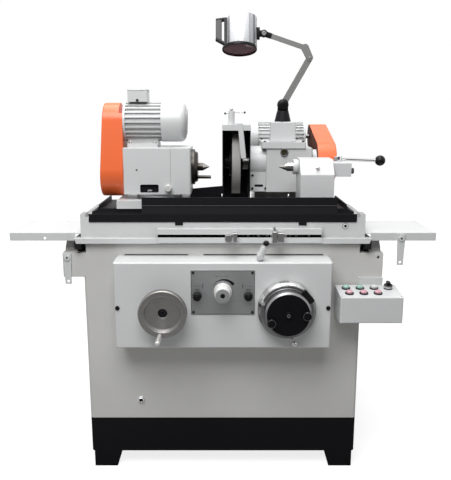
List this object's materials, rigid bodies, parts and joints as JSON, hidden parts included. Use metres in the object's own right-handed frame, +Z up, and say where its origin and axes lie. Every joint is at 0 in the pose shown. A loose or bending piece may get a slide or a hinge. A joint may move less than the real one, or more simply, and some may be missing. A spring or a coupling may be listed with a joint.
{
  "type": "cylindrical grinder",
  "caption": "Floor-standing cylindrical grinding machine with workhead, tailstock, guarded wheel, traversing table, handwheels, pushbutton pendant and work lamp.",
  "frame": {"origin": "floor level at the centre of the four anchor bolt holes", "axes": "+X to the operator's right along the table travel, +Y away from the operator towards the wheelhead, +Z up"},
  "size_m": [1.466, 1.028, 1.6532],
  "materials": {
    "cast_white": "light grey gloss machine enamel",
    "base_iron": "light grey enamel over cast iron",
    "black_paint": "black satin enamel",
    "plinth_iron": "black enamel over cast iron",
    "orange_paint": "orange gloss enamel",
    "bare_steel": "turned and ground steel",
    "table_iron": "dark oiled iron",
    "chrome": "polished chrome plate",
    "panel_silver": "anodised plate",
    "lamp_metal": "bright polished sheet",
    "arm_grey": "grey painted arm",
    "black_plastic": "black moulded plastic",
    "white_plastic": "white moulded plastic",
    "green_plastic": "green button cap",
    "red_plastic": "red button cap",
    "rubber": "black rubber",
    "abrasive": "bonded abrasive grain"
  },
  "bodies": {
    "base": {"plinth": "plinth_iron", "base_casting": "base_iron", "rear_cover": "cast_white", "apron_box": "cast_white", "apron_panel": "panel_silver", "base_screws": "bare_steel", "pendant_box": "cast_white"},
    "table_wheel": {"table_handwheel": "bare_steel"},
    "feed_wheel": {"crossfeed_handwheel": "black_paint", "crossfeed_dial": "bare_steel"},
    "feed_screw_body": {"feed_screw": "bare_steel"},
    "throttle": {"throttle_knob": "white_plastic"},
    "dwell_left": {"dwell_knob_left": "black_plastic"},
    "dwell_right": {"dwell_knob_right": "black_plastic"},
    "reverser": {"reversing_lever": "chrome"},
    "selector": {"selector_knob": "black_plastic"},
    "left_brace": {"brace_left": "cast_white"},
    "table": {"lower_table": "base_iron", "way_wipers": "rubber", "way_covers": "cast_white", "coolant_tray": "black_paint", "splash_plate": "black_paint"},
    "left_dog": {"table_dog_left": "bare_steel"},
    "right_dog": {"table_dog_right": "bare_steel"},
    "right_brace": {"brace_right": "cast_white"},
    "swivel_table": {"upper_table": "table_iron", "workhead_base": "base_iron"},
    "workhead": {"workhead_housing": "base_iron", "workhead_belt_guard": "orange_paint", "workhead_belt": "rubber", "workhead_motor": "cast_white"},
    "lock_knob": {"workhead_lock_knob": "chrome"},
    "work_drive": {"work_spindle": "bare_steel", "work_centre": "bare_steel"},
    "work_motor_shaft": {"workhead_rotor": "bare_steel"},
    "tailstock": {"tailstock_body": "base_iron"},
    "quill": {"tailstock_quill": "bare_steel", "tailstock_centre": "bare_steel"},
    "quill_lever": {"tailstock_lever": "chrome"},
    "wheelhead": {"wheel_slide": "base_iron", "wheelhead_housing": "base_iron", "wheel_guard": "black_paint", "coolant_nozzle": "cast_white", "wheel_motor": "cast_white", "wheel_belt_guard": "orange_paint", "wheel_belt": "rubber", "switch_box": "cast_white"},
    "wheel_drive": {"wheel_spindle": "bare_steel", "grinding_wheel": "abrasive"},
    "wheel_motor_shaft": {"wheel_rotor": "bare_steel"},
    "lamp_foot": {"lamp_base": "black_plastic"},
    "lamp_low": {"lamp_lower_arm": "arm_grey"},
    "lamp_high": {"lamp_upper_arm": "arm_grey"},
    "lamp": {"lamp_head": "lamp_metal"},
    "green_button_left_body": {"green_button_left": "green_plastic"},
    "green_button_right_body": {"green_button_right": "green_plastic"},
    "white_button_body": {"white_button": "white_plastic"},
    "red_button_left_body": {"red_button_left": "red_plastic"},
    "red_button_middle_body": {"red_button_middle": "red_plastic"},
    "red_button_right_body": {"red_button_right": "red_plastic"}
  },
  "joints": [
    {"name": "table_handwheel_turn", "type": "hinge", "parent": "base", "child": "table_wheel", "pos_m": [-0.196, -0.49, 0.651], "axis": [0, 1, 0], "range_deg": [-1729, 3601]},
    {"name": "table_slide", "type": "slide", "parent": "base", "child": "table", "axis": [1, 0, 0], "range_m": [-0.12, 0.25]},
    {"name": "crossfeed_turn", "type": "hinge", "parent": "base", "child": "feed_wheel", "pos_m": [0.212, -0.49, 0.651], "axis": [0, -1, 0], "range_deg": [-5760, 7200]},
    {"name": "feed_screw_turn", "type": "hinge", "parent": "base", "child": "feed_screw_body", "pos_m": [0.212, -0.38, 0.735], "axis": [0, -1, 0], "range_deg": [-7201, 5761]},
    {"name": "wheel_slide_travel", "type": "slide", "parent": "base", "child": "wheelhead", "axis": [0, 1, 0], "range_m": [-0.0801, 0.1001]},
    {"name": "throttle_turn", "type": "hinge", "parent": "base", "child": "throttle", "pos_m": [0, -0.493, 0.71], "axis": [0, 1, 0], "range_deg": [-135, 135]},
    {"name": "dwell_left_turn", "type": "hinge", "parent": "base", "child": "dwell_left", "pos_m": [-0.085, -0.493, 0.694], "axis": [0, 1, 0], "range_deg": [-135, 135]},
    {"name": "dwell_right_turn", "type": "hinge", "parent": "base", "child": "dwell_right", "pos_m": [0.085, -0.493, 0.694], "axis": [0, 1, 0], "range_deg": [-135, 135]},
    {"name": "reversing_lever_swing", "type": "hinge", "parent": "base", "child": "reverser", "pos_m": [0.124, -0.454, 0.821], "axis": [0, 1, 0], "range_deg": [-50, 10]},
    {"name": "selector_turn", "type": "hinge", "parent": "base", "child": "selector", "pos_m": [0.565, -0.42607, 0.7003], "axis": [0, -0.0748, 0.9972], "range_deg": [-45, 45]},
    {"name": "left_brace_swing", "type": "hinge", "parent": "base", "child": "left_brace", "pos_m": [-0.538, -0.381, 0.799], "axis": [0, 1, 0], "range_deg": [0, 90]},
    {"name": "right_brace_swing", "type": "hinge", "parent": "table", "child": "right_brace", "pos_m": [0.613, -0.381, 0.867], "axis": [0, 1, 0], "range_deg": [0, 44]},
    {"name": "left_dog_slide", "type": "slide", "parent": "table", "child": "left_dog", "axis": [1, 0, 0], "range_m": [-0.2, 0.05]},
    {"name": "right_dog_slide", "type": "slide", "parent": "table", "child": "right_dog", "axis": [1, 0, 0], "range_m": [-0.05, 0.11]},
    {"name": "table_swivel", "type": "hinge", "parent": "table", "child": "swivel_table", "pos_m": [0, -0.22, 0.94], "axis": [0, 0, 1], "range_deg": [-5, 5]},
    {"name": "workhead_swivel", "type": "hinge", "parent": "swivel_table", "child": "workhead", "pos_m": [-0.23, -0.22, 1.008], "axis": [0, 0, 1], "range_deg": [0, 30]},
    {"name": "lock_knob_pull", "type": "slide", "parent": "workhead", "child": "lock_knob", "axis": [0, -1, 0], "range_m": [0, 0.008], "stiffness_N_per_m": 400},
    {"name": "work_spindle_turn", "type": "hinge", "parent": "workhead", "child": "work_drive", "pos_m": [-0.23, -0.22, 1.097], "axis": [1, 0, 0], "continuous": true},
    {"name": "work_motor_turn", "type": "hinge", "parent": "workhead", "child": "work_motor_shaft", "pos_m": [-0.23, -0.22, 1.257], "axis": [1, 0, 0], "continuous": true},
    {"name": "tailstock_slide", "type": "slide", "parent": "swivel_table", "child": "tailstock", "axis": [-1, 0, 0], "range_m": [0, 0.12]},
    {"name": "quill_lever_turn", "type": "hinge", "parent": "tailstock", "child": "quill_lever", "pos_m": [0.4195, -0.193, 1.1145], "axis": [0, 0, -1], "range_deg": [0, 50], "stiffness_Nm_per_rad": 4},
    {"name": "quill_slide", "type": "slide", "parent": "tailstock", "child": "quill", "axis": [1, 0, 0], "range_m": [0, 0.0205]},
    {"name": "wheel_spindle_turn", "type": "hinge", "parent": "wheelhead", "child": "wheel_drive", "pos_m": [0.05, 0, 1.097], "axis": [1, 0, 0], "continuous": true},
    {"name": "wheel_motor_turn", "type": "hinge", "parent": "wheelhead", "child": "wheel_motor_shaft", "pos_m": [0.345, 0.22, 1.187], "axis": [1, 0, 0], "continuous": true},
    {"name": "lamp_swivel", "type": "hinge", "parent": "wheelhead", "child": "lamp_foot", "pos_m": [0.231, -0.013, 1.253], "axis": [0, 0, 1], "range_deg": [-90, 90]},
    {"name": "lamp_lower_hinge", "type": "hinge", "parent": "lamp_foot", "child": "lamp_low", "pos_m": [0.231, -0.013, 1.3171], "axis": [0, 1, 0], "range_deg": [-40, 25]},
    {"name": "lamp_elbow", "type": "hinge", "parent": "lamp_low", "child": "lamp_high", "pos_m": [0.32979, -0.013, 1.491], "axis": [0, -1, 0], "range_deg": [-30, 30]},
    {"name": "lamp_head_hinge", "type": "hinge", "parent": "lamp_high", "child": "lamp", "pos_m": [0.15404, -0.013, 1.57983], "axis": [0, 1, 0], "range_deg": [-40, 40]},
    {"name": "green_button_left_press", "type": "slide", "parent": "base", "child": "green_button_left_body", "axis": [0, 0.0748, -0.9972], "range_m": [0, 0.004], "stiffness_N_per_m": 400},
    {"name": "green_button_right_press", "type": "slide", "parent": "base", "child": "green_button_right_body", "axis": [0, 0.0748, -0.9972], "range_m": [0, 0.004], "stiffness_N_per_m": 400},
    {"name": "white_button_press", "type": "slide", "parent": "base", "child": "white_button_body", "axis": [0, 0.0748, -0.9972], "range_m": [0, 0.004], "stiffness_N_per_m": 400},
    {"name": "red_button_left_press", "type": "slide", "parent": "base", "child": "red_button_left_body", "axis": [0, 0.0748, -0.9972], "range_m": [0, 0.004], "stiffness_N_per_m": 400},
    {"name": "red_button_middle_press", "type": "slide", "parent": "base", "child": "red_button_middle_body", "axis": [0, 0.0748, -0.9972], "range_m": [0, 0.004], "stiffness_N_per_m": 400},
    {"name": "red_button_right_press", "type": "slide", "parent": "base", "child": "red_button_right_body", "axis": [0, 0.0748, -0.9972], "range_m": [0, 0.004], "stiffness_N_per_m": 400}
  ],
  "couplings": [
    {"joint": "table_handwheel_turn", "follows": "table_slide", "rad_per_m": 251.33},
    {"joint": "wheel_slide_travel", "follows": "crossfeed_turn", "m_per_rad": 0.00079577},
    {"joint": "feed_screw_turn", "follows": "crossfeed_turn", "ratio": -1},
    {"joint": "work_motor_turn", "follows": "work_spindle_turn", "ratio": 1.8235},
    {"joint": "quill_slide", "follows": "quill_lever_turn", "m_per_rad": 0.0229},
    {"joint": "wheel_motor_turn", "follows": "wheel_spindle_turn", "ratio": 1.4706}
  ]
}
